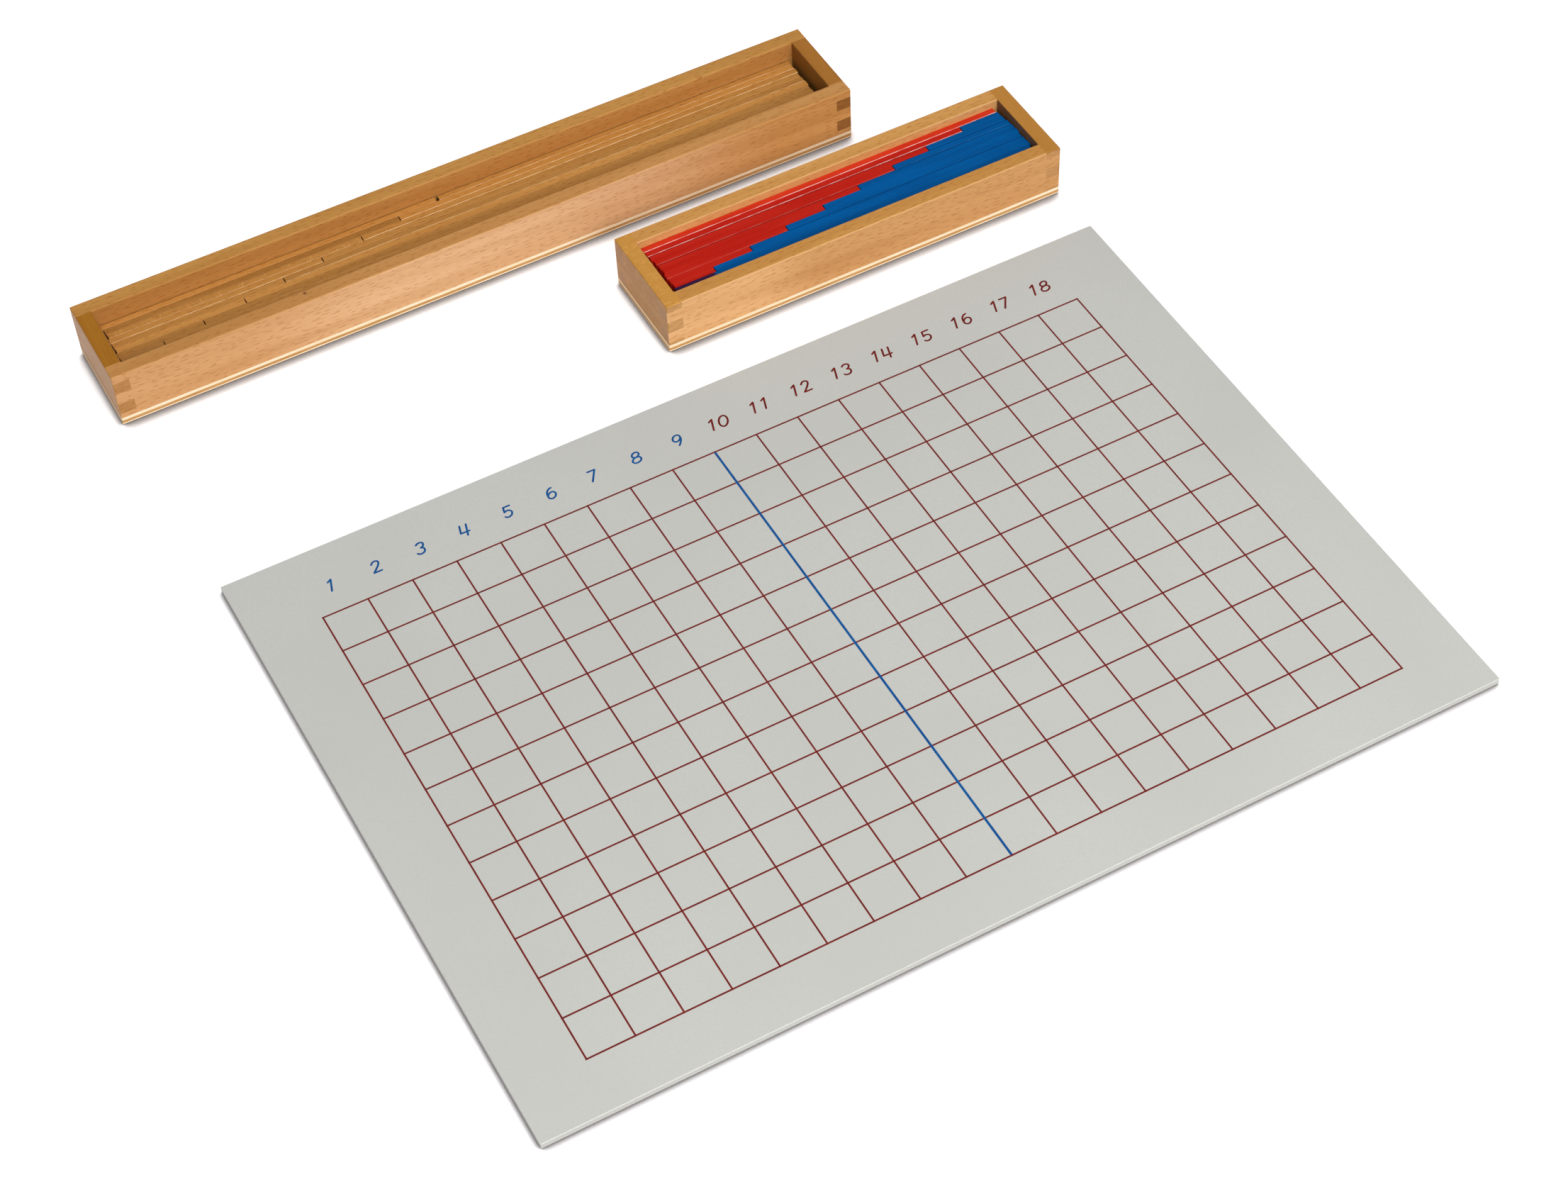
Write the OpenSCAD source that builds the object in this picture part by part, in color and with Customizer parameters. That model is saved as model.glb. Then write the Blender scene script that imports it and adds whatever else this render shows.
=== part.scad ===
// Subtraction strip board: a printed counting board with eighteen columns, a long open box
// that holds seventeen plain wooden strips, and a short open box that holds nine red and
// nine blue ones. A strip stands for a number, and is that many squares long.
// Frame: +Z up, +X along the row of numbers, +Y away from the child who sits at the board.
// The origin is on the table, under the middle of the whole set.

/* [Board] */
// Side of one printed square, which is also the length that a strip gains with each number
square = 20; // [15:0.5:30]
// Rows of squares
rows = 12; // [8:1:18]
// Bare margin at the left and at the right of the grid
side_margin = 30; // [15:0.5:60]
// Bare margin in front of the grid
front_margin = 23.5; // [10:0.5:60]
// Margin behind the grid, which has room for the numbers
number_margin = 36.5; // [25:0.5:70]
// Thickness of the board
board_thickness = 3; // [2:0.5:12]
// Radius of the board's upright corners
board_corner = 0.6; // [0.4:0.2:8]
// Rounding of the board's upper and lower edges
board_edge = 0.3; // [0.2:0.1:0.8]

/* [Print] */
// Width of a printed grid line
line_width = 0.6; // [0.4:0.1:2]
// Width of the printed line after the ninth column
nine_line_width = 1; // [0.6:0.1:3]
// How far the ink stands on the board
ink_height = 0.1; // [0.05:0.05:0.3]

/* [Strips] */
// Thickness of every strip
strip_thickness = 3.2; // [2:0.1:5]
// Width of a plain strip, which is its height as it stands in its box
plain_strip_width = 15; // [10:0.5:19]
// Width of a red or blue strip
coloured_strip_width = 19; // [10:0.5:19.5]
// Rounding of a strip's edges
strip_edge = 0.2; // [0.1:0.1:0.8]
// Play between one row of strips and the next
row_play = 0.1; // [0.1:0.1:1]
// Gap between the two strips of a row
strip_gap = 0.4; // [0.2:0.1:0.6]
// The same gap in the rearmost plain row, which is the widest
back_gap = 1.5; // [0.4:0.1:1.5]
// How far the ends of neighbouring rows differ
stagger = 0.3; // [0:0.1:0.3]
// Share of the free room that lies at the left end of the plain rows
plain_share = 0.45; // [0.4:0.05:0.6]
// The same share for the coloured rows near the back of the short box
back_share = 0.5; // [0.2:0.05:0.8]
// The same share for the coloured rows in front of those
front_share = 0.85; // [0.2:0.05:0.85]

/* [Boxes] */
// Thickness of the boxes' walls
wall = 7.5; // [5:0.5:12]
// Thickness of the plywood bottoms
bottom_thickness = 4; // [3:0.5:8]
// Free room across a box beside ten rows of strips
side_room = 2; // [1:0.5:15]
// Free room along the long box beyond its strips
long_end_room = 5; // [2.5:0.5:20]
// Free room along the short box beyond its strips
short_end_room = 4; // [2.5:0.5:20]
// Height of the long box's rim above its strips
long_rim = 9.5; // [4.5:0.5:20]
// Height of the short box's rim above its strips
short_rim = 4; // [4:0.5:20]
// Rounding of the boxes' edges
box_edge = 0.7; // [0.2:0.1:1.4]

/* [Finger joints] */
// Height of one finger
finger = 6; // [4:0.5:10]
// Height of the long box's uppermost finger, which belongs to its long walls
long_top_finger = 4; // [3:0.5:6]
// Height of the short box's uppermost finger, which belongs to its end walls
short_top_finger = 3.5; // [3:0.5:6]

/* [Setting out] */
// Space between the board and the short box
board_spacing = 28; // [10:1:100]
// Space between the two boxes
box_spacing = 31; // [10:1:100]
// How far each box stands out past the side of the board
overhang = 1; // [0:0.5:20]

/* [Hidden] */
// The sums go up to eighteen, nine and nine: a column for each number, a strip for most
highest = 18;
half = highest / 2;
// Coloured rows that lie near the back of the short box
back_rows = 3;
// Arc segments of a full turn, for the small roundings
$fn = 32;
// Length by which a cutter passes a face
past = 1;

board_length = highest * square + 2 * side_margin;
board_depth = rows * square + front_margin + number_margin;

// Both boxes are as wide as the fuller one needs
row_pitch = strip_thickness + row_play;
inner_width = (half + 1) * row_pitch + side_room;
box_width = inner_width + 2 * wall;
long_inner = (highest - 1) * square + long_end_room;
short_inner = half * square + short_end_room;
long_wall_height = plain_strip_width + long_rim;
short_wall_height = coloured_strip_width + short_rim;

// The board and the two boxes stand one behind another
set_depth = board_depth + board_spacing + box_spacing + 2 * box_width;
board_y = (board_depth - set_depth) / 2;
short_box_y = board_y + (board_depth + box_width) / 2 + board_spacing;
long_box_y = short_box_y + box_width + box_spacing;
long_box_x = (long_inner + 2 * wall - board_length) / 2 - overhang;
short_box_x = (board_length - short_inner - 2 * wall) / 2 + overhang;

function digits(n) = n < 10 ? str("0", n) : str(n);
panels = ["bottom", "front", "back", "left_end", "right_end"];

ink_red = [0.48, 0.14, 0.11];
ink_blue = [0.00, 0.35, 0.62];
beech = [0.82, 0.62, 0.38];
plywood = [0.88, 0.74, 0.50];
lacquer_red = [0.75, 0.12, 0.10];
lacquer_blue = [0.00, 0.33, 0.60];

// Rectangle about the origin with rounded corners
module rounded_rectangle(width, depth, radius) {
  square([width, depth - 2 * radius], center = true);
  square([width - 2 * radius, depth], center = true);
  for (sx = [-1, 1], sy = [-1, 1])
    translate([sx * (width / 2 - radius), sy * (depth / 2 - radius)]) circle(r = radius);
}

// Block that stands on z = 0 about the origin, with its upright corners and its edges rounded
module eased_block(length, width, height, edge, corner) {
  intersection() {
    linear_extrude(height) rounded_rectangle(length, width, corner);
    translate([0, width / 2 + past, height / 2]) rotate([90, 0, 0])
      linear_extrude(width + 2 * past) rounded_rectangle(length, height, edge);
    translate([-length / 2 - past, 0, height / 2]) rotate([90, 0, 90])
      linear_extrude(length + 2 * past) rounded_rectangle(width, height, edge);
  }
}

module board() {
  color([0.80, 0.80, 0.78]) translate([0, board_y, 0])
    eased_block(board_length, board_depth, board_thickness, board_edge, board_corner);
}

// Printed lines, drawn in plan: they pass the grid's corners by half a line's width
grid_length = highest * square;
grid_depth = rows * square;
grid_front = board_y - board_depth / 2 + front_margin;

module upright_line(column, width, depth) {
  translate([column * square - grid_length / 2, grid_front + grid_depth / 2])
    square([width, depth], center = true);
}

module level_line(row) {
  translate([0, grid_front + row * square])
    square([grid_length + line_width, line_width], center = true);
}

// The line after the ninth column runs between the outer lines, and cuts the level ones
module nine_line() {
  upright_line(half, nine_line_width, grid_depth - line_width);
}

// Layer of ink on the board
module ink() {
  translate([0, 0, board_thickness]) linear_extrude(ink_height) children();
}

module grid_print() {
  color(ink_red) ink() difference() {
    union() {
      for (column = [0:highest]) upright_line(column, line_width, grid_depth + line_width);
      for (row = [0:rows]) level_line(row);
    }
    nine_line();
  }
}

module nine_line_print() {
  color(ink_blue) ink() nine_line();
}

// Corner joints: the fingers of two walls alternate, counted from the rim down
function finger_count(height, top) = ceil((height - top) / finger) + 1;
function finger_low(i, height, top) = max(height - top - i * finger, 0);
function finger_high(i, height, top) = i == 0 ? height + past : finger_low(i - 1, height, top);

// Every second finger, in the upright corner of a box whose inner corner is at the origin
module corner_fingers(first, height, top) {
  for (i = [first:2:finger_count(height, top) - 1]) translate([0, 0, finger_low(i, height, top)])
    cube([wall + past, wall + past, finger_high(i, height, top) - finger_low(i, height, top)]);
}

// Cutter that rounds an upper edge along X: the wood lies at +Y and below z = 0
module rim_cutter(length) {
  translate([-length / 2, 0, 0]) rotate([90, 0, 90]) linear_extrude(length) difference() {
    translate([-past, -box_edge]) square(box_edge + past);
    translate([box_edge, -box_edge]) circle(r = box_edge);
  }
}

// Outside of a closed box, about the origin in X and Y
module box_outside(inner, height) {
  eased_block(inner + 2 * wall, box_width, bottom_thickness + height, box_edge, box_edge);
}

// Wall at the back of a box, with its fingers at both ends
module back_wall(inner, height, top, first) {
  difference() {
    intersection() {
      box_outside(inner, height);
      translate([0, 0, bottom_thickness]) {
        translate([-inner / 2, inner_width / 2, 0]) cube([inner, wall + past, height + past]);
        for (side = [0, 1]) mirror([side, 0, 0])
          translate([inner / 2, inner_width / 2, 0]) corner_fingers(first, height, top);
      }
    }
    translate([0, inner_width / 2, bottom_thickness + height]) rim_cutter(inner);
  }
}

// Wall at the right end of a box, with its fingers in front and behind
module right_end_wall(inner, height, top, first) {
  difference() {
    intersection() {
      box_outside(inner, height);
      translate([0, 0, bottom_thickness]) {
        translate([inner / 2, -inner_width / 2, 0]) cube([wall + past, inner_width, height + past]);
        for (side = [0, 1]) mirror([0, side, 0])
          translate([inner / 2, inner_width / 2, 0]) corner_fingers(first, height, top);
      }
    }
    translate([inner / 2, 0, bottom_thickness + height]) rotate([0, 0, -90]) rim_cutter(inner_width);
  }
}

// Plywood under the walls, flush with their outsides
module box_bottom(inner, height) {
  intersection() {
    box_outside(inner, height);
    translate([-inner, -box_width, -past])
      cube([2 * inner, 2 * box_width, bottom_thickness + past]);
  }
}

// One panel of a box: the long walls' first finger is the top one, or the end walls' is
module box_panel(panel, inner, height, top, long_first) {
  end_first = 1 - long_first;
  if (panel == "bottom") color(plywood) box_bottom(inner, height);
  if (panel == "back") color(beech) back_wall(inner, height, top, long_first);
  if (panel == "front") color(beech) mirror([0, 1, 0]) back_wall(inner, height, top, long_first);
  if (panel == "right_end") color(beech) right_end_wall(inner, height, top, end_first);
  if (panel == "left_end") color(beech) mirror([1, 0, 0]) right_end_wall(inner, height, top, end_first);
}

module long_box_panel(panel) {
  translate([long_box_x, long_box_y, 0])
    box_panel(panel, long_inner, long_wall_height, long_top_finger, 0);
}

module short_box_panel(panel) {
  translate([short_box_x, short_box_y, 0])
    box_panel(panel, short_inner, short_wall_height, short_top_finger, 1);
}

// Strip for the number n, on edge on a box's bottom, with its left end at x in the given row
module strip(n, width, x, row) {
  translate([x + n * square / 2, inner_width / 2 - (row + 0.5) * row_pitch, bottom_thickness])
    eased_block(n * square, strip_thickness, width, strip_edge, strip_edge);
}

// Left end of a row that is total numbers long; rows are counted from the back wall
function row_start(inner, total, gap, share, row) =
  -inner / 2 + share * (inner - total * square - gap) + stagger * (row % 3 - 1);
function right_part(left_number, gap) = left_number * square + gap;

// Plain rows: 8 and 9 at the back, then 7 and 10, and so on to 1 and 16, and 17 in front
module plain_strip(n) {
  left_number = min(n, highest - 1 - n);
  row = half - 1 - left_number;
  gap = row == 0 ? back_gap : strip_gap;
  start = row_start(long_inner, highest - 1, gap, plain_share, row);
  color(beech) translate([long_box_x, long_box_y, 0])
    strip(n, plain_strip_width, start + (n >= half && n < highest - 1 ? right_part(left_number, gap) : 0), row);
}

// Coloured rows: red 9 at the back, then red 8 and blue 1, and so on to blue 9 in front
function coloured_start(row) =
  row_start(short_inner, half, strip_gap, row < back_rows ? back_share : front_share, row);

module red_strip(n) {
  row = half - n;
  color(lacquer_red) translate([short_box_x, short_box_y, 0])
    strip(n, coloured_strip_width, coloured_start(row), row);
}

module blue_strip(n) {
  row = n;
  color(lacquer_blue) translate([short_box_x, short_box_y, 0])
    strip(n, coloured_strip_width, coloured_start(row) + (n < half ? right_part(half - n, strip_gap) : 0), row);
}

board();
grid_print();
nine_line_print();
for (p = panels) {
  long_box_panel(p);
  short_box_panel(p);
}
for (n = [1:highest - 1])
  plain_strip(n);
for (n = [1:half]) {
  red_strip(n);
  blue_strip(n);
}
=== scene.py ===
import math

import bpy
from mathutils import Matrix, Vector


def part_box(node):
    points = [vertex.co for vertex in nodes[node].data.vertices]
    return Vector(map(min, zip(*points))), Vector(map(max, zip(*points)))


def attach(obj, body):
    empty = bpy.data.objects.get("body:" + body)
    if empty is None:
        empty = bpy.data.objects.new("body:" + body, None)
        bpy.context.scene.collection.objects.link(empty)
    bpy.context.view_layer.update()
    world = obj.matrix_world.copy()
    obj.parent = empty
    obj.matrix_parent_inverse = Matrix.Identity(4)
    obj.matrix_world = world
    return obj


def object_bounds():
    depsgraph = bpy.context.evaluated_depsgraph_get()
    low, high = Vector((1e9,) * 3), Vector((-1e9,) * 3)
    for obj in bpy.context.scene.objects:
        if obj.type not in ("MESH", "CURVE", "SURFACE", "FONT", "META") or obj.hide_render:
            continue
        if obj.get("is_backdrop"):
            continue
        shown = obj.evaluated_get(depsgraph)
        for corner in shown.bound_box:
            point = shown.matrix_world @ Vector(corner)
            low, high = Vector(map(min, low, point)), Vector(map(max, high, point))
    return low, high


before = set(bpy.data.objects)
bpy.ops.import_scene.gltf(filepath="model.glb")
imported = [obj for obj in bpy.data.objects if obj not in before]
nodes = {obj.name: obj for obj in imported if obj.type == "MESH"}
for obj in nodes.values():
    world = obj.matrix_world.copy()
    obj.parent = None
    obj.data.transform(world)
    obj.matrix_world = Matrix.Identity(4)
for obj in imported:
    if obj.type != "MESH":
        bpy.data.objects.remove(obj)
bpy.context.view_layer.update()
scene = bpy.context.scene
scene.view_settings.view_transform = "Standard"


# The room. The set lies on a plain white table top. The camera looks down on it
# from the front left with a long lens, rolled a little, as the picture was taken.
camera_right = Vector((0.876092, -0.481112, -0.031530))
camera_up = Vector((0.385842, 0.660390, 0.644213))
camera_back = Vector((-0.289117, -0.576556, 0.764196))
turn = Matrix((camera_right, camera_up, camera_back)).transposed()
bpy.ops.object.camera_add(location=(-0.38348, -0.78948, 0.98592), rotation=turn.to_euler())
camera = bpy.context.object
camera.data.sensor_width = 36
camera.data.lens = 72.745
camera.data.clip_start = 0.05
camera.data.clip_end = 50
scene.camera = camera


def put(tree, kind, inputs=None, **settings):
    """Puts one node in a tree: its settings first, then what its sockets hold or are fed by."""
    node = tree.nodes.new(kind)
    for name, value in settings.items():
        setattr(node, name, value)
    for name, value in (inputs or {}).items():
        if isinstance(value, bpy.types.NodeSocket):
            tree.links.new(value, node.inputs[name])
        else:
            node.inputs[name].default_value = value
    return node


def sums(tree, operation, first, second):
    return put(tree, "ShaderNodeMath", {0: first, 1: second}, operation=operation).outputs[0]


def seen_directly(tree):
    """1 for the camera and for what shines or is clear, 0 for the light on the set."""
    path = put(tree, "ShaderNodeLightPath").outputs
    seen = sums(tree, "MAXIMUM", path["Is Camera Ray"], path["Is Glossy Ray"])
    return sums(tree, "MAXIMUM", seen, path["Is Transmission Ray"])


bpy.ops.mesh.primitive_plane_add(size=8, location=(0, 0, -0.0001))
table_top = bpy.context.object
table_top.name = "table_top"
table_white = bpy.data.materials.new("table white")
table_white.use_nodes = True
tree = table_white.node_tree
tree.nodes.clear()
seen = seen_directly(tree)
# close in front of each piece, and closer still at its left, the table gets less light: there
# only the part of the sky that lies behind it, or at its right, is counted
in_front = (0.008, (0.12, 0.55, 0.826))
at_left = (0.0037, (0.5, 0.1, 0.86))
dims = []
for reach, (x, y, z) in (in_front, at_left):
    aside = put(tree, "ShaderNodeCombineXYZ", {0: x, 1: y, 2: z}).outputs[0]
    sky = put(tree, "ShaderNodeAmbientOcclusion", {"Distance": reach, "Normal": aside}, samples=12)
    dim = put(tree, "ShaderNodeMapRange",
              {"Value": sky.outputs["AO"], "From Min": 0.85, "From Max": 0.32, "To Min": 0, "To Max": seen})
    dims.append(dim.outputs[0])
shade = put(tree, "ShaderNodeMix", {0: sums(tree, "MAXIMUM", *dims), 6: (0.92, 0.92, 0.93, 1),
                                    7: (0.115, 0.1, 0.098, 1)}, data_type="RGBA").outputs[2]
matt = put(tree, "ShaderNodeBsdfDiffuse", {"Color": shade})
glow = put(tree, "ShaderNodeEmission",
           {"Color": shade, "Strength": sums(tree, "MULTIPLY", seen, 0.7)})
both = put(tree, "ShaderNodeAddShader", {0: matt.outputs[0], 1: glow.outputs[0]})
put(tree, "ShaderNodeOutputMaterial", {"Surface": both.outputs[0]})
table_top.data.materials.append(table_white)
table_top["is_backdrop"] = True

world = bpy.data.worlds.new("white room")
world.use_nodes = True
scene.world = world
tree = world.node_tree
tree.nodes.clear()
room = put(tree, "ShaderNodeBackground", {"Color": (0.97, 0.97, 1, 1), "Strength": 0.33})
white = put(tree, "ShaderNodeBackground", {"Color": (1, 1, 1, 1), "Strength": 1})
choice = put(tree, "ShaderNodeMixShader",
             {0: seen_directly(tree), 1: room.outputs[0], 2: white.outputs[0]})
put(tree, "ShaderNodeOutputWorld", {"Surface": choice.outputs[0]})

# Two soft lamps: one nearly overhead and a little behind, and a wide one in front, which
# lights the fronts of the boxes.
for name, place, width, height, watts in (
    ("high lamp", (-0.15, 0.3, 2.9), 0.8, 0.8, 9.0),
    ("front lamp", (0.0, -1.57, 1.41), 1.4, 0.9, 35.0),
):
    bpy.ops.object.light_add(type="AREA", location=place)
    lamp = bpy.context.object
    lamp.name = name
    lamp.data.shape = "RECTANGLE"
    lamp.data.size = width
    lamp.data.size_y = height
    lamp.data.energy = watts
    lamp.rotation_euler = (Vector((0, 0, 0)) - Vector(place)).to_track_quat("-Z", "Y").to_euler()


# The board. A thin flat sheet of hard board faced with warm grey satin laminate. Its sides are
# painted a duller grey as painted shade, and a painted highlight runs pale along its top edge.
def paint(red, green, blue):
    """A colour as it is read off a screen, 0 to 255, turned into light."""
    return tuple(((c / 255 + 0.055) / 1.055) ** 2.4 for c in (red, green, blue)) + (1,)


def start(name):
    """A new material with an empty tree."""
    material = bpy.data.materials.new(name)
    material.use_nodes = True
    material.node_tree.nodes.clear()
    return material, material.node_tree


def stretched(tree, vector, along, across, deep):
    """The same coordinates counted in patterns a metre along each way."""
    return put(tree, "ShaderNodeVectorMath", {0: vector, 1: (along, across, deep)},
               operation="MULTIPLY").outputs[0]


def between(tree, value, low, high, to_low=0.0, to_high=1.0):
    """A value between two marks, eased and spread over a new range."""
    return put(tree, "ShaderNodeMapRange",
               {"Value": value, "From Min": low, "From Max": high, "To Min": to_low, "To Max": to_high},
               interpolation_type="SMOOTHSTEP").outputs[0]


def blended(tree, amount, first, second, blend="MIX"):
    """Two colours mixed, the second one by the amount."""
    return put(tree, "ShaderNodeMix", {0: amount, 6: first, 7: second},
               data_type="RGBA", blend_type=blend).outputs[2]


laminate, tree = start("board laminate")
place = put(tree, "ShaderNodeTexCoord").outputs["Object"]
cloud = put(tree, "ShaderNodeTexNoise", {"Vector": place, "Scale": 9, "Detail": 2}).outputs["Fac"]
stipple = put(tree, "ShaderNodeTexNoise", {"Vector": place, "Scale": 900, "Detail": 2}).outputs["Fac"]
grey = blended(tree, between(tree, cloud, 0.35, 0.65), paint(202, 202, 196), paint(206, 206, 200))
grey = blended(tree, between(tree, stipple, 0.3, 0.7, 0, 0.4), grey, paint(198, 198, 192))
dust = put(tree, "ShaderNodeTexVoronoi", {"Vector": place, "Scale": 16})
speck = between(tree, dust.outputs["Distance"], 0.012, 0.006)
few = put(tree, "ShaderNodeSeparateColor", {0: dust.outputs["Color"]}).outputs[0]
speck = sums(tree, "MULTIPLY", speck, between(tree, few, 0.55, 0.6, 0, 0.3))
grey = blended(tree, speck, grey, paint(150, 140, 125))
# the red ink creeps a little way into the laminate beside each line
grid_low, grid_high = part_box("grid_print")
columns = 18
half_line = 0.0003
crept = 0.0002
square = (grid_high.x - grid_low.x - 2 * half_line) / columns
middle = (grid_low + grid_high) / 2
ways = put(tree, "ShaderNodeSeparateXYZ", {0: place}).outputs
creep, inside = [], []
for k in (0, 1):
    from_first = sums(tree, "SUBTRACT", ways[k], grid_low[k] + half_line)
    from_nearest = sums(tree, "PINGPONG", from_first, square / 2)
    creep.append(between(tree, from_nearest, half_line + crept, half_line))
    inside.append(put(tree, "ShaderNodeMath",
                      {0: ways[k], 1: middle[k], 2: grid_high[k] - middle[k] + crept},
                      operation="COMPARE").outputs[0])
creep = sums(tree, "MULTIPLY", sums(tree, "MAXIMUM", *creep), sums(tree, "MULTIPLY", *inside))
grey = blended(tree, sums(tree, "MULTIPLY", creep, 0.6), grey, paint(150, 70, 55))
facing = put(tree, "ShaderNodeTexCoord").outputs["Normal"]
upward = put(tree, "ShaderNodeSeparateXYZ", {0: facing}).outputs["Z"]
# a painted highlight on the rounded top edge, then painted shade on the sides
grey = blended(tree, between(tree, upward, 0.98, 0.9), grey, paint(214, 214, 207))
grey = blended(tree, between(tree, upward, 0.4, 0.2), grey, paint(190, 190, 184))
relief = put(tree, "ShaderNodeBump", {"Strength": 0.05, "Distance": 0.00003, "Height": stipple})
skin = put(tree, "ShaderNodeBsdfPrincipled",
           {"Base Color": grey, "Roughness": between(tree, stipple, 0.3, 0.7, 0.42, 0.5),
            "Specular IOR Level": 0.2, "Normal": relief.outputs[0]})
put(tree, "ShaderNodeOutputMaterial", {"Surface": skin.outputs[0]})
nodes["board"].material_slots[0].material = laminate


# The print on the board. Screen-printed ink: thin red lines for the squares, a heavier
# blue line after the ninth row, blue numbers to 9 and red ones from 10 to 18.
def ink(name, full, thin):
    """Screen ink, thinner here and there so that it varies a little."""
    material, tree = start(name)
    place = put(tree, "ShaderNodeTexCoord").outputs["Object"]
    patch = put(tree, "ShaderNodeTexNoise", {"Vector": place, "Scale": 240, "Detail": 3}).outputs["Fac"]
    mesh = put(tree, "ShaderNodeTexNoise", {"Vector": place, "Scale": 3000, "Detail": 1}).outputs["Fac"]
    colour = blended(tree, between(tree, patch, 0.38, 0.66), full, thin)
    relief = put(tree, "ShaderNodeBump", {"Strength": 0.1, "Distance": 0.00003, "Height": mesh})
    skin = put(tree, "ShaderNodeBsdfPrincipled",
               {"Base Color": colour, "Roughness": between(tree, mesh, 0.3, 0.7, 0.4, 0.55),
                "Specular IOR Level": 0.15, "Normal": relief.outputs[0]})
    put(tree, "ShaderNodeOutputMaterial", {"Surface": skin.outputs[0]})
    return material


red_ink = ink("red ink", paint(104, 10, 6), paint(118, 24, 16))
blue_ink = ink("blue ink", paint(0, 76, 144), paint(0, 90, 154))
nodes["grid_print"].material_slots[0].material = red_ink
nodes["nine_line_print"].material_slots[0].material = blue_ink

# Each digit is drawn in mm from the middle of its foot, as a pen would draw it. A stroke of
# four plain numbers is a round one: its middle, then its half width and half height.
digits = {
    "0": [(-0.05, 3.2, 2.05, 2.95)],
    "1": [[(-1.15, 5.4), (0.3, 6.4)], [(0.3, 6.4), (0.0, 0.4)]],
    "2": [[(-1.7, 5.05), (-1.2, 5.9), (-0.15, 6.25), (1.0, 5.85), (1.45, 4.8), (1.05, 3.5), (0.2, 2.2),
           (-1.1, 0.4)], [(-1.1, 0.4), (2.4, 0.4)]],
    "3": [[(-1.5, 5.4), (-0.9, 5.95), (0.1, 6.1), (1.25, 5.7), (1.65, 4.75), (1.3, 3.7), (0.4, 3.25)],
          [(0.4, 3.25), (1.55, 2.7), (1.95, 1.6), (1.6, 0.6), (0.55, 0.15), (-0.6, 0.3), (-1.4, 0.95)]],
    "4": [[(-1.6, 5.85), (-1.6, 1.8)], [(-1.6, 1.8), (2.35, 1.75)], [(1.3, 5.7), (1.3, -0.2)]],
    "5": [[(1.4, 6.0), (-1.45, 6.0)], [(-1.45, 6.0), (-1.3, 3.3)],
          [(-1.3, 3.3), (-0.2, 3.75), (1.1, 3.4), (1.9, 2.2), (1.6, 0.85), (0.5, 0.2), (-0.6, 0.35),
           (-1.3, 0.9)]],
    "6": [[(0.7, 6.1), (-0.6, 5.6), (-1.4, 4.2), (-1.35, 2.3), (-0.85, 0.9), (0.5, 0.2), (1.75, 0.75),
           (2.25, 2.0), (1.75, 3.25), (0.5, 3.8), (-0.7, 3.3), (-1.3, 2.3)]],
    "7": [[(-2.2, 6.05), (1.15, 6.05)], [(1.15, 6.05), (-0.85, 0.2)]],
    "8": [(0.15, 4.65, 1.6, 1.35), (0.35, 1.75, 2.0, 1.55)],
    "9": [(-0.35, 4.25, 1.75, 1.75), [(1.4, 4.4), (1.55, 3.1), (1.0, 1.4), (0.2, 0.05)]],
}
# The pen's line is this far from its middle to its edge and this flat, and the digits lean
# about their waist.
pen = 0.43
flatness = 0.15
lean = 0.27
waist = 3.3


def through(points, steps=7):
    """Points on one smooth line through the given ones."""
    ends = [points[0]] + points + [points[-1]]
    line = []
    for four in zip(ends, ends[1:], ends[2:], ends[3:]):
        for k in range(steps):
            t = k / steps
            line.append(tuple(
                0.5 * (2 * q + (r - p) * t + (2 * p - 5 * q + 4 * r - s) * t ** 2
                       + (3 * q - p - 3 * r + s) * t ** 3)
                for p, q, r, s in zip(*four)))
    return line + [points[-1]]


def round_tip(tip, before):
    """The last points past a stroke's end, where the pen line closes in a half circle."""
    way = Vector((tip[0] - before[0], tip[1] - before[1])).normalized() * pen
    return [((tip[0] + way.x * s, tip[1] + way.y * s), math.sqrt(1 - s * s))
            for s in (0.4, 0.7, 0.9, 1.0)]


digit_pieces = {}
for digit, strokes in digits.items():
    bpy.ops.object.select_all(action="DESELECT")
    bpy.ops.curve.primitive_nurbs_path_add(location=(0, 0, 0))
    drawn = bpy.context.object
    drawn.data.splines.clear()
    drawn.data.bevel_depth = pen / 1000
    drawn.data.bevel_resolution = 2
    for stroke in strokes:
        if isinstance(stroke, tuple):
            x, y, wide, high = stroke
            turns = [math.tau * k / 40 for k in range(40)]
            line = [(x + wide * math.sin(a), y + high * math.cos(a)) for a in turns]
            line = [((x + lean * (y - waist), y), 1) for x, y in line]
        else:
            line = [(x + lean * (y - waist), y) for x, y in through(stroke)]
            first, last = round_tip(line[0], line[1])[::-1], round_tip(line[-1], line[-2])
            line = first + [(p, 1) for p in line] + last
        spline = drawn.data.splines.new("POLY")
        spline.points.add(len(line) - 1)
        for point, ((x, y), thick) in zip(spline.points, line):
            point.co = (x / 1000, y / 1000, 0, 1)
            point.radius = thick
        spline.use_cyclic_u = isinstance(stroke, tuple)
    bpy.ops.object.convert(target="MESH")
    bpy.ops.object.mode_set(mode="EDIT")
    bpy.ops.mesh.select_all(action="SELECT")
    bpy.ops.transform.resize(value=(1, 1, flatness), center_override=(0, 0, 0))
    bpy.ops.mesh.remove_doubles(threshold=0.000001)
    bpy.ops.mesh.normals_make_consistent(inside=False)
    bpy.ops.object.mode_set(mode="OBJECT")
    bpy.ops.object.shade_smooth()
    digit_pieces[digit] = bpy.context.object

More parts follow.
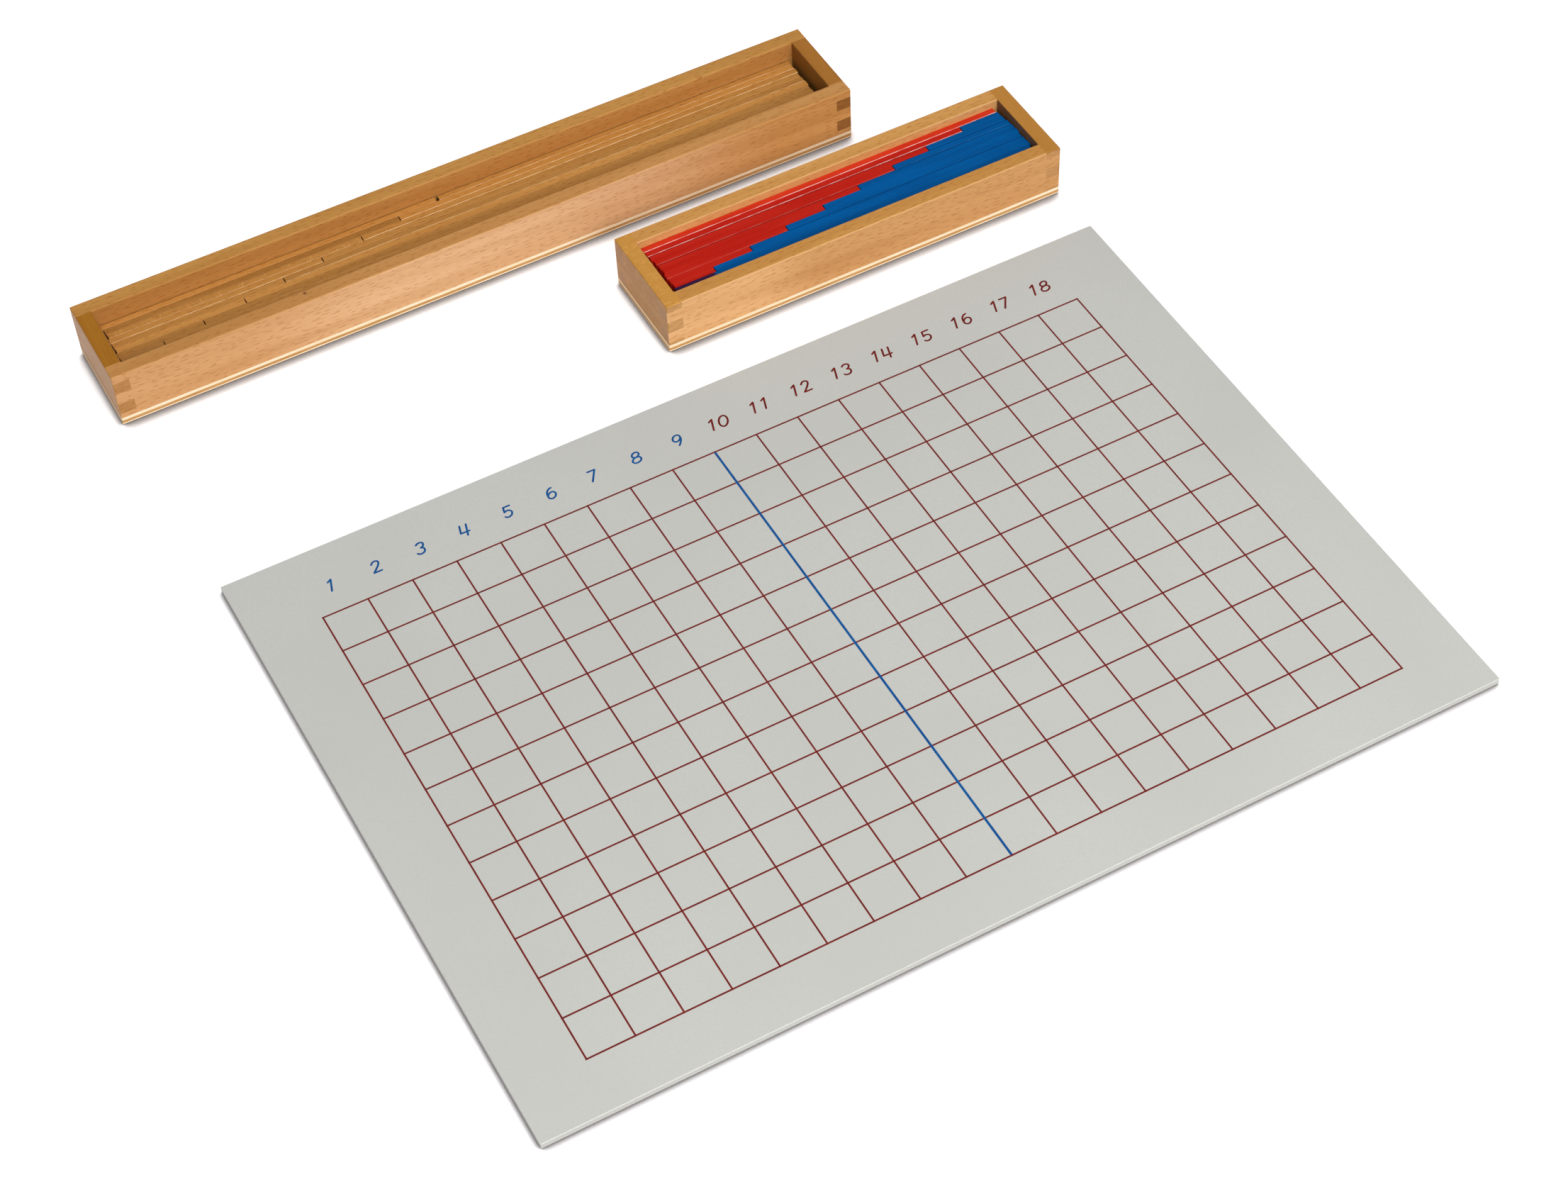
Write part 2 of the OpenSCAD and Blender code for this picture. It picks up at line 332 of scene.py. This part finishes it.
# The numbers stand behind the grid, each over its column, with two digits side by side from 10
# on. The middle of their ink lies a little above the board, so the lower part is sunk in it.
board_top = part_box("board")[1].z
behind_grid = 0.0106
over_board = 0.00002
tens, ones = -0.0033, 0.002
for name, numbers, material, slot in (
    ("numerals_blue", range(1, 10), blue_ink, "ink_blue"),
    ("numerals_red", range(10, columns + 1), red_ink, "ink_red"),
):
    row = []
    for number in numbers:
        middle = grid_low.x + square * (number - 0.5)
        for digit, aside in zip(str(number), (0,) if number < 10 else (tens, ones)):
            bpy.ops.object.select_all(action="DESELECT")
            digit_pieces[digit].select_set(True)
            bpy.context.view_layer.objects.active = digit_pieces[digit]
            bpy.ops.object.duplicate()
            copy = bpy.context.object
            copy.location = (middle + aside, grid_high.y + behind_grid, board_top + over_board)
            row.append(copy)
    bpy.ops.object.select_all(action="DESELECT")
    for piece in row:
        piece.select_set(True)
    bpy.context.view_layer.objects.active = row[0]
    bpy.ops.object.join()
    numerals = bpy.context.object
    bpy.ops.object.transform_apply(location=True, rotation=True, scale=True)
    numerals.name = name
    numerals.data.materials.clear()
    numerals.data.materials.append(material)
    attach(numerals, "root")
for piece in digit_pieces.values():
    bpy.data.objects.remove(piece)


# The boxes' walls. Steamed beech, planed and clear lacquered, glued with finger joints at
# the corners. The grain runs along each wall, so the joints show end grain by turns.
figure = bpy.data.node_groups.new("beech figure", "ShaderNodeTree")
for socket, kind in (("Along", "Vector"), ("Up", "Float"), ("Wood", "Color"), ("Flecks", "Float"),
                     ("Silver", "Float"), ("End", "Float"), ("Ends", "Color")):
    figure.interface.new_socket(socket, in_out="INPUT", socket_type="NodeSocket" + kind)
for socket, kind in (("Color", "Color"), ("Height", "Float"), ("Roughness", "Float")):
    figure.interface.new_socket(socket, in_out="OUTPUT", socket_type="NodeSocket" + kind)
given = put(figure, "NodeGroupInput").outputs
light = blended(figure, 1.0, given["Wood"], (1.05, 1.06, 1.08, 1), "MULTIPLY")
dark = blended(figure, 1.0, given["Wood"], (0.90, 0.85, 0.77, 1), "MULTIPLY")
fleck = blended(figure, 1.0, given["Wood"], (0.62, 0.45, 0.27, 1), "MULTIPLY")
bands = put(figure, "ShaderNodeTexNoise",
            {"Vector": stretched(figure, given["Along"], 6, 160, 160), "Scale": 1, "Detail": 4,
             "Distortion": 0.4}).outputs["Fac"]
fibres = put(figure, "ShaderNodeTexNoise",
             {"Vector": stretched(figure, given["Along"], 150, 2600, 2600), "Scale": 1,
              "Detail": 3}).outputs["Fac"]
wood = blended(figure, between(figure, bands, 0.34, 0.68), light, dark)
wood = blended(figure, between(figure, fibres, 0.3, 0.72, 0, 0.45), wood, dark)
# the rays: short dark spindles, one in each cell of a plane laid on the face
ways = put(figure, "ShaderNodeSeparateXYZ", {0: given["Along"]}).outputs
sway = put(figure, "ShaderNodeTexNoise",
           {"Vector": stretched(figure, given["Along"], 90, 120, 120), "Scale": 1}).outputs["Fac"]
across = put(figure, "ShaderNodeMix", {0: given["Up"], 2: ways["Z"], 3: ways["Y"]},
             data_type="FLOAT").outputs[0]
across = sums(figure, "ADD", across, sums(figure, "MULTIPLY", sway, 0.0012))
plane = put(figure, "ShaderNodeCombineXYZ", {0: ways["X"], 1: across}).outputs[0]
plane = stretched(figure, plane, 185, 540, 0)
cells = put(figure, "ShaderNodeTexVoronoi", {"Vector": plane, "Scale": 1, "Randomness": 0.9},
            voronoi_dimensions="2D").outputs
chance = put(figure, "ShaderNodeSeparateColor", {0: cells["Color"]}).outputs
apart = put(figure, "ShaderNodeVectorMath", {0: plane, 1: cells["Position"]}, operation="SUBTRACT")
half = put(figure, "ShaderNodeCombineXYZ",
           {0: between(figure, chance[1], 0, 1, 0.2, 0.44), 1: 0.1, 2: 1}).outputs[0]
apart = put(figure, "ShaderNodeVectorMath", {0: apart.outputs[0], 1: half}, operation="DIVIDE")
apart = put(figure, "ShaderNodeVectorMath", {0: apart.outputs[0]}, operation="LENGTH").outputs["Value"]
ray = between(figure, apart, 1.15, 0.55)
ray = sums(figure, "MULTIPLY", ray, between(figure, chance[0], 0.05, 0.7, 0.35, 1))
wood = blended(figure, sums(figure, "MULTIPLY", ray, given["Flecks"]), wood, fleck)
# the same rays seen broadside, as pale wavy flakes across the grain
flakes = put(figure, "ShaderNodeTexNoise",
             {"Vector": stretched(figure, given["Along"], 900, 240, 240), "Scale": 1, "Detail": 2,
              "Distortion": 1.2}).outputs["Fac"]
flake = sums(figure, "MULTIPLY", between(figure, flakes, 0.54, 0.64), given["Silver"])
wood = blended(figure, flake, wood, blended(figure, 1.0, light, (1.1, 1.14, 1.3, 1), "MULTIPLY"))
# end grain: darker, with close growth lines and pores
rings = put(figure, "ShaderNodeTexNoise",
            {"Vector": stretched(figure, given["Along"], 20, 260, 1500), "Scale": 1, "Detail": 2,
             "Distortion": 0.3}).outputs["Fac"]
pores = put(figure, "ShaderNodeTexNoise",
            {"Vector": stretched(figure, given["Along"], 20, 5200, 5200), "Scale": 1}).outputs["Fac"]
pore = blended(figure, 1.0, given["Ends"], (0.66, 0.56, 0.44, 1), "MULTIPLY")
butt = blended(figure, between(figure, rings, 0.35, 0.65, 0, 0.5), given["Ends"], pore)
butt = blended(figure, between(figure, pores, 0.5, 0.7, 0, 0.5), butt, pore)
wood = blended(figure, given["End"], wood, butt)
height = sums(figure, "SUBTRACT", fibres, ray)
rough = between(figure, fibres, 0.3, 0.7, 0.38, 0.5)
put(figure, "NodeGroupOutput", {"Color": wood, "Height": height, "Roughness": rough})

# how far a place lies on a rounded edge
arris = bpy.data.node_groups.new("arris", "ShaderNodeTree")
arris.interface.new_socket("Normal", in_out="INPUT", socket_type="NodeSocketVector")
arris.interface.new_socket("Rounded", in_out="OUTPUT", socket_type="NodeSocketFloat")
normal = put(arris, "NodeGroupInput").outputs[0]
sides = put(arris, "ShaderNodeVectorMath", {0: normal}, operation="ABSOLUTE").outputs[0]
sides = put(arris, "ShaderNodeSeparateXYZ", {0: sides}).outputs
widest = sums(arris, "MAXIMUM", sums(arris, "MAXIMUM", sides[0], sides[1]), sides[2])
put(arris, "NodeGroupOutput", {"Rounded": between(arris, widest, 0.985, 0.9)})


def worn(tree, coords, front_edge, line):
    """Where a painted highlight lies, in a thin broken line behind a strip's front edge."""
    behind = put(tree, "ShaderNodeSeparateXYZ", {0: coords["Object"]}).outputs["Y"]
    upward = put(tree, "ShaderNodeSeparateXYZ", {0: coords["Normal"]}).outputs["Z"]
    patches = put(tree, "ShaderNodeTexNoise",
                  {"Vector": stretched(tree, coords["Object"], 170, 300, 300), "Scale": 1,
                   "Detail": 2}).outputs["Fac"]
    band = sums(tree, "MULTIPLY", between(tree, behind, front_edge + 0.00036, front_edge + 0.00018),
                between(tree, upward, 0.1, 0.4))
    return sums(tree, "MULTIPLY", band, between(tree, patches, 0.36, 0.6, 0.35 * line, line))


def beech(name, along, cut, face, rim, ends, flecks=0.9, silver=0.0, tilt=0.03, edge=0.0, line=0.0,
          front_edge=0.0, knot=None, drift=(), painted_gap_shade=None):
    """One stick of lacquered beech. along is the way its grain runs, cut its place in the log,
    flecks and silver how strong its rays show, from the edge and broadside,
    tilt how far the grain runs off, face, rim and ends its colours on the sides, on top and on
    the end grain. edge is how strong the painted highlight on its rounded edges is, line how
    strong the painted highlight line behind its front edge is, knot the middle of a small dark
    knot, drift has the painted light and shade that its side takes on farther to the right, and
    groove is where the painted shade of the gap behind it starts."""
    material, tree = start(name)
    coords = put(tree, "ShaderNodeTexCoord").outputs
    log = put(tree, "ShaderNodeMapping",
              {"Vector": coords["Object"], "Location": cut,
               "Rotation": (0, tilt, tilt - (math.pi / 2 if along == "Y" else 0))}).outputs[0]
    facing = put(tree, "ShaderNodeVectorMath", {0: coords["Normal"]}, operation="ABSOLUTE").outputs[0]
    facing = put(tree, "ShaderNodeSeparateXYZ", {0: facing}).outputs
    up = between(tree, facing["Z"], 0.66, 0.76)
    place = put(tree, "ShaderNodeSeparateXYZ", {0: coords["Object"]}).outputs
    # painted light along the side: the sheen and shade it takes on farther to the right
    for first, last, later in drift:
        face = blended(tree, between(tree, place["X"], first, last), face, paint(*later))
    tone = blended(tree, up, face, rim)
    wood = put(tree, "ShaderNodeGroup", node_tree=figure)
    for socket, value in (("Flecks", flecks), ("Silver", silver), ("Ends", ends)):
        wood.inputs[socket].default_value = value
    tree.links.new(log, wood.inputs["Along"])
    tree.links.new(up, wood.inputs["Up"])
    tree.links.new(tone, wood.inputs["Wood"])
    tree.links.new(between(tree, facing[along], 0.75, 0.95), wood.inputs["End"])
    colour = wood.outputs["Color"]
    if knot:
        apart = put(tree, "ShaderNodeVectorMath", {0: coords["Object"], 1: knot}, operation="DISTANCE")
        spot = between(tree, apart.outputs["Value"], 0.0013, 0.0003, 0, 0.75)
        colour = blended(tree, spot, colour, paint(96, 54, 22))
    # painted highlight: pale on the rounded edges by edge, and in a line behind the front edge by line
    edges = put(tree, "ShaderNodeGroup", {0: coords["Normal"]}, node_tree=arris).outputs
    painted_highlight = sums(tree, "MULTIPLY", edges["Rounded"], edge)
    if line:
        painted_highlight = sums(tree, "MAXIMUM", painted_highlight, worn(tree, coords, front_edge, line))
    colour = blended(tree, painted_highlight, colour, paint(244, 204, 152))
    # painted shade in the gap behind the strip
    if painted_gap_shade:
        shade = between(tree, place["Y"], painted_gap_shade - 0.0008, painted_gap_shade, 0, 0.8)
        colour = blended(tree, shade, colour, paint(84, 50, 20))
    relief = put(tree, "ShaderNodeBump",
                 {"Strength": 0.2, "Distance": 0.0001, "Height": wood.outputs["Height"]})
    skin = put(tree, "ShaderNodeBsdfPrincipled",
               {"Base Color": colour, "Roughness": wood.outputs["Roughness"], "Specular IOR Level": 0.1,
                "Normal": relief.outputs[0]})
    put(tree, "ShaderNodeOutputMaterial", {"Surface": skin.outputs[0]})
    return material


# each wall's grain, its place in the log, and its face, rim and end grain
front_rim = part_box("long_box_front")
for wall, along, cut, face, rim, ends, more in (
    # the long front's face is paler and bluer than its rim, partly a painted sheen; its drift paints a sheen
    # toward the middle and shade toward the right, behind the short box
    ("long_box_front", "X", (1.54, 0.21, 0.05), (212, 159, 107), (206, 149, 86), (196, 142, 86),
     {"tilt": -0.02, "knot": (-0.1193, front_rim[0].y + 0.0055, front_rim[1].z),
      "drift": ((-0.16, -0.08, (226, 178, 132)), (0.03, 0.12, (210, 152, 88)))}),
    ("long_box_back", "X", (1.43, 0.14, 0.0), (196, 140, 76), (204, 148, 76), (196, 142, 86), {"tilt": 0.03}),
    ("long_box_left_end", "Y", (1.87, 0.14, 0.05), (192, 142, 92), (174, 115, 30), (190, 136, 80),
     {"flecks": 0.3}),
    # the right end's face is painted dark: painted shade, for its inner face lies in the box's shade
    ("long_box_right_end", "Y", (1.98, 0.14, 0.05), (148, 102, 44), (176, 116, 46), (158, 104, 48),
     {"flecks": 0.2}),
    # the short front's face is paler and bluer than its rim, partly a painted sheen; its drift paints shade
    # toward the right, and edge a painted highlight on its rounded edges
    ("short_box_front", "X", (1.65, 0.21, 0.1), (228, 176, 121), (211, 152, 79), (192, 144, 94),
     {"tilt": -0.03, "edge": 0.3, "drift": ((0.05, 0.09, (208, 154, 97)),)}),
    # edge paints a highlight on the short back's rounded edges
    ("short_box_back", "X", (1.54, 0.14, 0.05), (226, 172, 108), (218, 160, 88), (192, 144, 94),
     {"tilt": 0.03, "edge": 0.2}),
    ("short_box_left_end", "Y", (1.98, 0.14, 0.1), (190, 138, 78), (212, 153, 71), (206, 156, 100),
     {"flecks": 0.2, "silver": 0.7}),
    # the right end's face is painted dark: painted shade, for its inner face lies in the box's shade
    ("short_box_right_end", "Y", (2.09, 0.14, 0.1), (120, 86, 56), (200, 141, 64), (200, 148, 92),
     {"flecks": 0.1}),
):
    nodes[wall].material_slots[0].material = beech(
        wall, along, cut, paint(*face), paint(*rim), paint(*ends), **more)


# The boxes' bottoms. Thin plywood of three plies, glued under the walls flush with their
# outsides, so the plies show all round as a pale, a brown and a pale band.
plywood, tree = start("plywood")
coords = put(tree, "ShaderNodeTexCoord").outputs
level = put(tree, "ShaderNodeSeparateXYZ", {0: coords["Object"]}).outputs[2]
facing = put(tree, "ShaderNodeVectorMath", {0: coords["Normal"]}, operation="ABSOLUTE").outputs[0]
facing = put(tree, "ShaderNodeSeparateXYZ", {0: facing}).outputs
fibres = put(tree, "ShaderNodeTexNoise",
             {"Vector": stretched(tree, coords["Object"], 70, 900, 1600), "Scale": 1,
              "Detail": 3}).outputs["Fac"]
pale = blended(tree, between(tree, fibres, 0.35, 0.65), paint(255, 237, 208), paint(246, 222, 182))
brown = blended(tree, between(tree, fibres, 0.35, 0.65), paint(206, 156, 98), paint(190, 140, 80))
wavy = sums(tree, "ADD", level, sums(tree, "MULTIPLY", fibres, 0.0002))
core = sums(tree, "MULTIPLY", between(tree, wavy, 0.00105, 0.00115), between(tree, wavy, 0.0026, 0.0025))
core = sums(tree, "MULTIPLY", core, between(tree, facing[2], 0.9, 0.7))
veneer = blended(tree, core, pale, brown)
relief = put(tree, "ShaderNodeBump", {"Strength": 0.15, "Distance": 0.0001, "Height": fibres})
skin = put(tree, "ShaderNodeBsdfPrincipled",
           {"Base Color": veneer, "Roughness": between(tree, fibres, 0.3, 0.7, 0.42, 0.55),
            "Specular IOR Level": 0.1, "Normal": relief.outputs[0]})
put(tree, "ShaderNodeOutputMaterial", {"Surface": skin.outputs[0]})
for bottom in ("long_box_bottom", "short_box_bottom"):
    nodes[bottom].material_slots[0].material = plywood


# The plain strips. Thin beech strips without paint, 1 to 17 squares long, sawn from many
# boards, so that each one differs a little in tone; a few carry a painted highlight line behind their front
# edge.
# how light a strip's wood is, where the picture shows it, and how strong the painted highlight line behind
# its front edge is
tones = {7: 0.78, 10: 1.14, 6: 0.98, 3: 1.1, 14: 1.12, 1: 0.9, 5: 1.05, 12: 0.95}
highlight_lines = {5: 0.8, 9: 0.6, 10: 0.8, 11: 0.9, 13: 0.6, 6: 0.3, 16: 0.2}
for number in range(1, 18):
    name = f"plain_strip_{number:02d}"
    tone = tones.get(number, 0.88 + 0.2 * ((number * 0.618) % 1))
    face, rim = (tuple(c * tone for c in paint(*colour)[:3]) + (1,)
                 for colour in ((204, 150, 92), (200, 142, 72)))
    cut = (0.31 * number, 0.17 * number, 0.013 * number)
    # the end grain is painted very dark: partly its own darker end grain, partly painted shade in the joints
    # between the strips
    nodes[name].material_slots[0].material = beech(
        name, "X", cut, face, rim, paint(64, 38, 16), 0.9, 0.8 if number == 6 else 0.0,
        0.06 if number == 1 else 0.02, 0.0, highlight_lines.get(number, 0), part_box(name)[0].y,
        painted_gap_shade=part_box(name)[1].y if number in (8, 9) else None)


# The coloured strips. Beech strips 1 to 9 squares long in red and in blue gloss lacquer,
# through which the grain still lifts a little; a painted highlight line runs behind the front edge of some.
def lacquer(name, full, deep, thin, line, front_edge, painted_gap_shade=None, painted_shade_end=None):
    """Gloss lacquer, full and deep by turns. thin is the colour of the painted highlight line behind
    the front edge, groove is where the painted shade of the gap behind it starts, and up to dusk
    along its length it lies in painted shade, tinged with a painted red reflection from its neighbour."""
    material, tree = start(name)
    coords = put(tree, "ShaderNodeTexCoord").outputs
    place = put(tree, "ShaderNodeSeparateXYZ", {0: coords["Object"]}).outputs
    grain = put(tree, "ShaderNodeTexNoise",
                {"Vector": stretched(tree, coords["Object"], 70, 1900, 1900), "Scale": 1,
                 "Detail": 3}).outputs["Fac"]
    drift = put(tree, "ShaderNodeTexNoise",
                {"Vector": stretched(tree, coords["Object"], 25, 310, 310), "Scale": 1}).outputs["Fac"]
    colour = blended(tree, between(tree, drift, 0.35, 0.65), full, deep)
    # painted highlight: a pale line behind the front edge
    colour = blended(tree, worn(tree, coords, front_edge, line), colour, thin)
    dark = blended(tree, 1.0, deep, (0.2, 0.2, 0.3, 1), "MULTIPLY")
    # painted shade in the gap behind the strip
    if painted_gap_shade:
        shade = between(tree, place["Y"], painted_gap_shade - 0.0006, painted_gap_shade - 0.0002, 0, 0.85)
        colour = blended(tree, shade, colour, dark)
    # painted shade up to its neighbour's end, tinged with a painted reflection of the red neighbour
    if painted_shade_end:
        shade = between(tree, place["X"], painted_shade_end, painted_shade_end - 0.002, 0, 0.9)
        colour = blended(tree, shade, colour, paint(66, 14, 52))
    relief = put(tree, "ShaderNodeBump", {"Strength": 0.15, "Distance": 0.0001, "Height": grain})
    skin = put(tree, "ShaderNodeBsdfPrincipled",
               {"Base Color": colour, "Roughness": between(tree, grain, 0.3, 0.7, 0.25, 0.35),
                "Specular IOR Level": 0.02, "Normal": relief.outputs[0]})
    put(tree, "ShaderNodeOutputMaterial", {"Surface": skin.outputs[0]})
    return material


for number in range(1, 10):
    red, blue = f"red_strip_{number:02d}", f"blue_strip_{number:02d}"
    # strip 9 lies in the back row and is painted brighter: painted light
    reds = ((222, 62, 36), (210, 52, 30)) if number == 9 else ((202, 40, 27), (194, 33, 21))
    # line is how strong the painted highlight line behind the front edge is; the pale colour given after the
    # red ones is that highlight
    line = {9: 0.9, 8: 0.8, 6: 0.15, 3: 0.12}.get(number, 0.0)
    front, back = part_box(red)
    nodes[red].material_slots[0].material = lacquer(
        red, paint(*reds[0]), paint(*reds[1]), paint(255, 205, 200), line, front.y,
        painted_gap_shade=back.y if number in (5, 7) else None)
    line = {3: 0.15}.get(number, 0.0)
    front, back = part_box(blue)
    nodes[blue].material_slots[0].material = lacquer(
        blue, paint(0, 93, 163), paint(0, 86, 153), paint(90, 160, 215), line, front.y,
        painted_gap_shade=back.y if number in (3, 4, 7) else None,
        # blue strip 9 gets painted shade and a painted red reflection up to the end of red strip 1
        painted_shade_end=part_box("red_strip_01")[1].x if number == 9 else None)


low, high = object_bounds()
